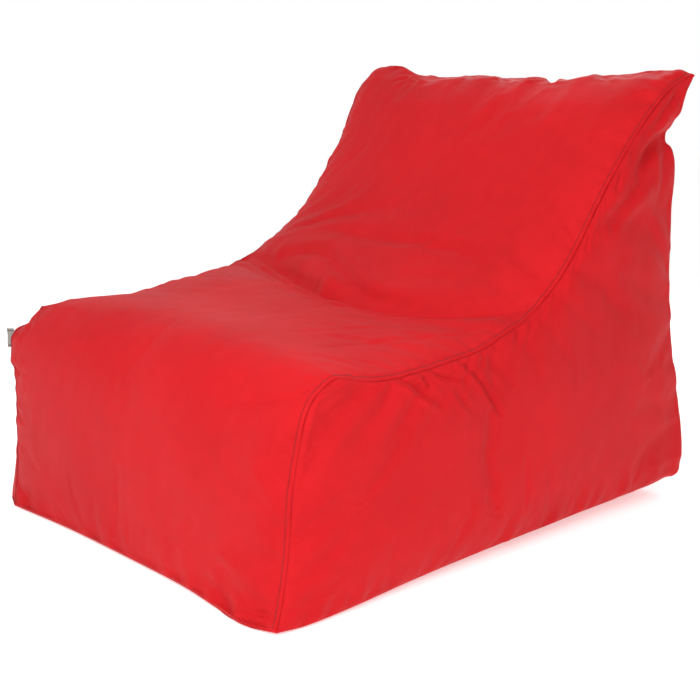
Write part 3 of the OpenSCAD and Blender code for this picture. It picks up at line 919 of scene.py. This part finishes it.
def folded_label(name, root, way, reach, low, high):
    """A ribbon folded back on itself, with a slight wave along its height."""
    along = np.linspace(0, 1, 15)
    half_gap, sewn_in = 0.0006, 0.003
    out_leg = np.stack([along * (reach - half_gap) - sewn_in, np.full(15, half_gap)], axis=1)
    bend = np.linspace(math.pi / 2, -math.pi / 2, 9)[1:-1]
    tip = half_gap * np.stack([np.cos(bend), np.sin(bend)], axis=1)
    tip[:, 0] += reach - half_gap - sewn_in
    back_leg = out_leg[::-1] * [1, -1]
    section = np.concatenate([out_leg, tip, back_leg])
    side = np.array([-way[1], way[0]])
    heights = np.linspace(low, high, 25)
    rows = []
    for z in heights:
        t = (z - low) / (high - low)
        lean = 0.0012 * np.sin(2.4 * math.pi * t) * np.clip(section[:, :1] / reach, 0, 1)
        flat = root[:2] + section[:, :1] * way + (section[:, 1:] + lean) * side
        rows.append(np.concatenate([flat, np.full((len(flat), 1), z)], axis=1))
    grid = np.array(rows)
    faces = grid_quads(numbered(grid), False).reshape(-1, 4)
    piece = raw_mesh(name, grid.reshape(-1, 3), faces)
    thick = piece.modifiers.new("thickness", "SOLIDIFY")
    thick.thickness = 0.0004
    thick.offset = 0.0
    return piece


# ---------------------------------------------------------------- materials
class Nodes:
    """A new material's node tree, with short calls for the nodes used here."""

    def __init__(self, name):
        self.material = bpy.data.materials.new(name)
        self.material.use_nodes = True
        self.tree = self.material.node_tree
        self.shader = self.tree.nodes["Principled BSDF"]

    def add(self, kind, **values):
        node = self.tree.nodes.new(kind)
        for key, value in values.items():
            if key in node.inputs:
                node.inputs[key].default_value = value
            else:
                setattr(node, key, value)
        return node

    def link(self, source, target):
        self.tree.links.new(source, target)

    def finish(self, **values):
        for key, value in values.items():
            self.shader.inputs[key.replace("_", " ")].default_value = value
        return self.material

    def places(self, kind="Object"):
        return self.add("ShaderNodeTexCoord").outputs[kind]

    def paint(self, colour):
        self.link(colour, self.shader.inputs["Base Color"])

    def rough(self, amount, low, high):
        self.link(self.between(amount, low, high), self.shader.inputs["Roughness"])

    def noise(self, places, scale, detail=3.0, roughness=0.5):
        node = self.add("ShaderNodeTexNoise", Scale=scale, Detail=detail, Roughness=roughness)
        self.link(places, node.inputs["Vector"])
        return node.outputs["Fac"]

    def sum(self, first, second, share):
        """first + share * second."""
        node = self.add("ShaderNodeMath", operation="MULTIPLY_ADD")
        self.link(second, node.inputs[0])
        node.inputs[1].default_value = share
        self.link(first, node.inputs[2])
        return node.outputs[0]

    def product(self, first, second):
        node = self.add("ShaderNodeMath", operation="MULTIPLY")
        self.link(first, node.inputs[0])
        self.link(second, node.inputs[1])
        return node.outputs[0]

    def between(self, amount, low, high, from_low=0.3, from_high=0.7):
        """A colour or number that goes from low to high with an amount."""
        if isinstance(low, tuple):
            node = self.add("ShaderNodeValToRGB")
            ends = node.color_ramp.elements
            ends[0].position, ends[0].color = from_low, low
            ends[1].position, ends[1].color = from_high, high
            self.link(amount, node.inputs["Fac"])
            return node.outputs["Color"]
        node = self.add("ShaderNodeMapRange")
        for i, value in enumerate((from_low, from_high, low, high), start=1):
            node.inputs[i].default_value = value
        self.link(amount, node.inputs[0])
        return node.outputs[0]

    def mix(self, share, first, second):
        """A colour from a node that turns into a fixed one by a share."""
        node = self.add("ShaderNodeMix", data_type="RGBA")
        self.link(share, node.inputs["Factor"])
        self.link(first, node.inputs["A"])
        node.inputs["B"].default_value = second
        return node.outputs["Result"]

    def bump(self, height, distance, strength=1.0):
        node = self.add("ShaderNodeBump", Strength=strength, Distance=distance)
        self.link(height, node.inputs["Height"])
        self.link(node.outputs["Normal"], self.shader.inputs["Normal"])

    def weave(self, places, pitch):
        """Height of a plain weave with threads at a pitch, along the two ways of the cloth."""
        split = self.add("ShaderNodeSeparateXYZ")
        self.link(places, split.inputs[0])
        waves_out = []
        for axis in (0, 1):
            turn = self.add("ShaderNodeMath", operation="MULTIPLY")
            self.link(split.outputs[axis], turn.inputs[0])
            turn.inputs[1].default_value = math.pi / pitch
            wave = self.add("ShaderNodeMath", operation="SINE")
            self.link(turn.outputs[0], wave.inputs[0])
            waves_out.append(wave.outputs[0])
        return self.product(*waves_out)


def tinted(colour, factor):
    return tuple(c * factor for c in colour) + (1.0,)


def coated_fabric(name, colour):
    """Coated polyester: a fine weave under a matte coat, slow changes of tone, and seams painted
    darker, partly as crease dirt and partly as painted shade of the seam groove and thread.
    """
    n = Nodes(name)
    here, cloth = n.places(), n.places("UV")
    tone = n.sum(n.noise(here, 5.0, 4.0), n.noise(here, 38.0, 3.0), 0.5)
    base = n.between(tone, tinted(colour, 0.93), tinted(colour, 1.06), 0.55, 0.95)
    # The seam attribute darkens the colour along every seam: painted shade of the groove and its
    # thread, with some crease dirt.
    seam = n.add("ShaderNodeAttribute", attribute_name="seam").outputs["Fac"]
    n.paint(n.mix(seam, base, tinted(colour, 0.84)))
    grain = n.noise(cloth, 900.0, 2.0)
    height = n.sum(n.weave(cloth, 0.00055), grain, 1.2)
    n.bump(n.sum(height, n.noise(here, 140.0, 3.0), 1.5), 0.00018, 0.55)
    n.rough(grain, 0.50, 0.62)
    return n.finish(Specular_IOR_Level=0.09, Sheen_Weight=0.04, Sheen_Roughness=0.30,
                    Sheen_Tint=(1.0, 0.80, 0.84, 1.0))


def woven(name, colour, pitch, depth=0.0002, stripes=()):
    """Plain woven tape or ribbon; stripes are (low, high, colour) along Z."""
    n = Nodes(name)
    here = n.places()
    weave = n.weave(n.places("UV"), pitch)
    base = n.between(n.sum(n.noise(here, 300.0), weave, 0.15), tinted(colour, 0.8),
                     tinted(colour, 1.12))
    height = n.add("ShaderNodeSeparateXYZ")
    n.link(here, height.inputs[0])
    for low, high, stripe in stripes:
        inside = n.add("ShaderNodeMath", operation="COMPARE")
        n.link(height.outputs[2], inside.inputs[0])
        inside.inputs[1].default_value = (low + high) / 2
        inside.inputs[2].default_value = (high - low) / 2
        base = n.mix(inside.outputs[0], base, tinted(stripe, 1.0))
    n.paint(base)
    n.bump(weave, depth)
    return n.finish(Roughness=0.75, Specular_IOR_Level=0.2)


def thread(name, colour):
    n = Nodes(name)
    n.paint(n.between(n.noise(n.places(), 1500.0), tinted(colour, 0.7), tinted(colour, 1.3)))
    n.bump(n.noise(n.places(), 4000.0), 0.0001)
    return n.finish(Roughness=0.6, Specular_IOR_Level=0.25, Sheen_Weight=0.1)


def plastic(name, colour):
    n = Nodes(name)
    n.paint(n.between(n.noise(n.places(), 400.0), tinted(colour, 0.9), tinted(colour, 1.1)))
    n.rough(n.noise(n.places(), 900.0), 0.30, 0.42)
    return n.finish(Specular_IOR_Level=0.5)


def cast_metal(name):
    """Plated zinc: fine scratches and worn patches."""
    n = Nodes(name)
    here = n.places()
    n.paint(n.between(n.noise(here, 220.0, 5.0), (0.42, 0.43, 0.45, 1), (0.62, 0.63, 0.65, 1)))
    n.rough(n.noise(here, 700.0, 4.0), 0.24, 0.42)
    n.bump(n.noise(here, 2500.0, 3.0), 0.00005, 0.4)
    return n.finish(Metallic=1.0)


def liner_cloth(name, colour):
    """Spun-bond lining: pressed fibres with a small diamond pattern."""
    n = Nodes(name)
    here = n.places()
    fibres = n.noise(here, 650.0, 6.0, 0.7)
    n.paint(n.between(fibres, tinted(colour, 0.9), tinted(colour, 1.05)))
    n.bump(n.sum(n.weave(n.places("UV"), 0.0022), fibres, 0.8), 0.0003, 0.6)
    return n.finish(Roughness=0.8, Specular_IOR_Level=0.2)


def foam_beads(name, colour):
    """Loose foam beads three to five millimetres across, painted darker towards the gaps between
    them as shade.
    """
    n = Nodes(name)
    cells = n.add("ShaderNodeTexVoronoi", Scale=240.0)
    n.link(n.places(), cells.inputs["Vector"])
    distance = cells.outputs["Distance"]
    # painted shade: the colour darkens from the middle of each bead towards the gaps between beads
    n.paint(n.between(distance, tinted(colour, 1.0), tinted(colour, 0.78), 0.1, 0.7))
    n.bump(n.between(distance, 1.0, 0.0, 0.0, 0.7), 0.002)
    return n.finish(Roughness=0.55, Specular_IOR_Level=0.3)


# ---------------------------------------------------------------- the chair
def place(piece, material, slot, *nodes, body=CHAIR):
    """Gives a piece its material and body, and hides the CAD nodes that it stands for; the slot is
    not used.
    """
    piece.data.materials.clear()
    piece.data.materials.append(material)
    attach(piece, body)
    if nodes:
        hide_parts(*nodes)
    return piece


make_camera()
make_stage()

RED = (0.54, 0.008, 0.012)
cover = coated_fabric("red_coated_fabric", RED)
sewing = thread("dark_red_thread", (0.09, 0.006, 0.009))
liner = liner_cloth("white_lining", (0.80, 0.79, 0.75))
metal = cast_metal("zinc")

body = make_body()
body = puff(body)
fine = dress(fine_grids(body))

PANELS = (("front_seat_back", "strip"), ("left_side", "left"), ("right_side", "right"),
          ("base", "base"))
for name, part in PANELS:
    piece = panel("cover_" + name, fine[part], FLIPPED[part])
    place(piece, cover, "cover_fabric", name + "_panel")
backs = slotted_back(("cover_back_upper", "cover_back_lower"), fine["back"], COVER_ZIP, BACK_Y,
                     hem=0.0012)
for piece, node in zip(backs, ("back_panel_upper", "back_panel_lower")):
    place(piece, cover, "cover_fabric", node)

# rows of stitches: along both side seams of the strip and under the top edge of the back
strip_normals = outward_normals(fine["strip"], FLIPPED["strip"])
_, _, from_left, from_right = edge_distances(fine["strip"])
inner_rows = range(4, len(fine["strip"]) - 3)
for name, distance, node in (("stitches_left", from_left, "left_topstitch"),
                             ("stitches_right", from_right, "right_topstitch")):
    run = line_at(fine["strip"], strip_normals, distance, STITCH_INSET, inner_rows)
    place(stitches(name, *run), sewing, "cover_thread", node)
back_columns = fine["back"].transpose(1, 0, 2)
back_normals = -outward_normals(back_columns, False)
below_top = edge_distances(fine["back"])[1].T
inner_columns = range(4, len(back_columns) - 4)
run = line_at(back_columns, back_normals, below_top, STITCH_INSET, inner_columns)
place(stitches("stitches_top", *run), sewing, "cover_thread", "top_edge_stitch")

# label, folded and sewn into the left front seam
(_, _, label_low), (_, _, label_high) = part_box("label_tab")
label_middle = (label_low + label_high) / 2
left_edge = body["strip"][:, 0]
root = left_edge[int(np.argmin(np.abs(left_edge[:NZ, 2] - label_middle)))]
outward = unit(np.array([-1.0, -0.8]))
label = folded_label("label", root, outward, reach=0.013, low=label_low, high=label_high)
GREY, DARK_GREY = (0.30, 0.27, 0.25), (0.10, 0.09, 0.09)
stripes = ((label_low + 0.003, label_low + 0.005, DARK_GREY),
           (label_high - 0.005, label_high - 0.003, DARK_GREY))
ribbon = woven("label_ribbon", GREY, pitch=0.0006, stripes=stripes)
place(label, ribbon, "label_ribbon", "label_tab")

# zips of the cover and of the liner
TAPES = {"cover": woven("red_tape", (0.45, 0.015, 0.022), pitch=0.0008),
         "liner": woven("white_tape", (0.78, 0.77, 0.73), pitch=0.0008)}
COILS = {"cover": plastic("red_coil", (0.26, 0.012, 0.018)),
         "liner": plastic("white_coil", (0.75, 0.74, 0.70))}
for layer, zipper in (("cover", COVER_ZIP), ("liner", LINER_ZIP)):
    for row in ("upper", "lower"):
        place(coil(f"{layer}_coil_{row}", f"{layer}_zip_coil_{row}"), COILS[layer],
              f"{layer}_zip_coil")
        tape = softened(f"{layer}_tape_{row}", f"{layer}_zip_tape_{row}", width=0.0002,
                        reach=zipper.reach + 0.010)
        place(tape, TAPES[layer], f"{layer}_zip_tape")
    for part in ("top_stops", "bottom_stop"):
        place(softened(f"{layer}_{part}", f"{layer}_zip_{part}", width=0.0006), metal, "zip_metal")
for node, width in (("cover_zip_slider", 0.0005), ("cover_zip_pull", 0.0004),
                    ("liner_zip_slider", 0.0005)):
    place(softened(node + "_part", node, width), metal, "zip_metal", body=node)

# liner and bead fill
points, numbers, _ = inner_body(body, depth=0.014, softness=25)
inner = {part: points[ids] for part, ids in numbers.items()}
for name, part in PANELS:
    piece = panel(f"lining_{name}", inner[part], FLIPPED[part], hem=0.001)
    place(piece, liner, "liner_fabric", "liner_" + name)
inner_back = resample(inner["back"], Z_PLACES, X_PLACES)
backs = slotted_back(("lining_back_upper", "lining_back_lower"), inner_back, LINER_ZIP,
                     LINER_ZIP.face_y, hem=0.0008)
for piece, node in zip(backs, ("liner_back_upper", "liner_back_lower")):
    place(piece, liner, "liner_fabric", node)
points, _, quads = inner_body(body, depth=0.026, softness=90)
slider_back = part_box("liner_zip_slider")[0][1] - 0.002
points[:, 1] = np.minimum(points[:, 1], slider_back)
fill = place(raw_mesh("beads", points, quads), foam_beads("foam_beads", (0.9, 0.9, 0.87)),
             "bead_fill", "bead_fill")
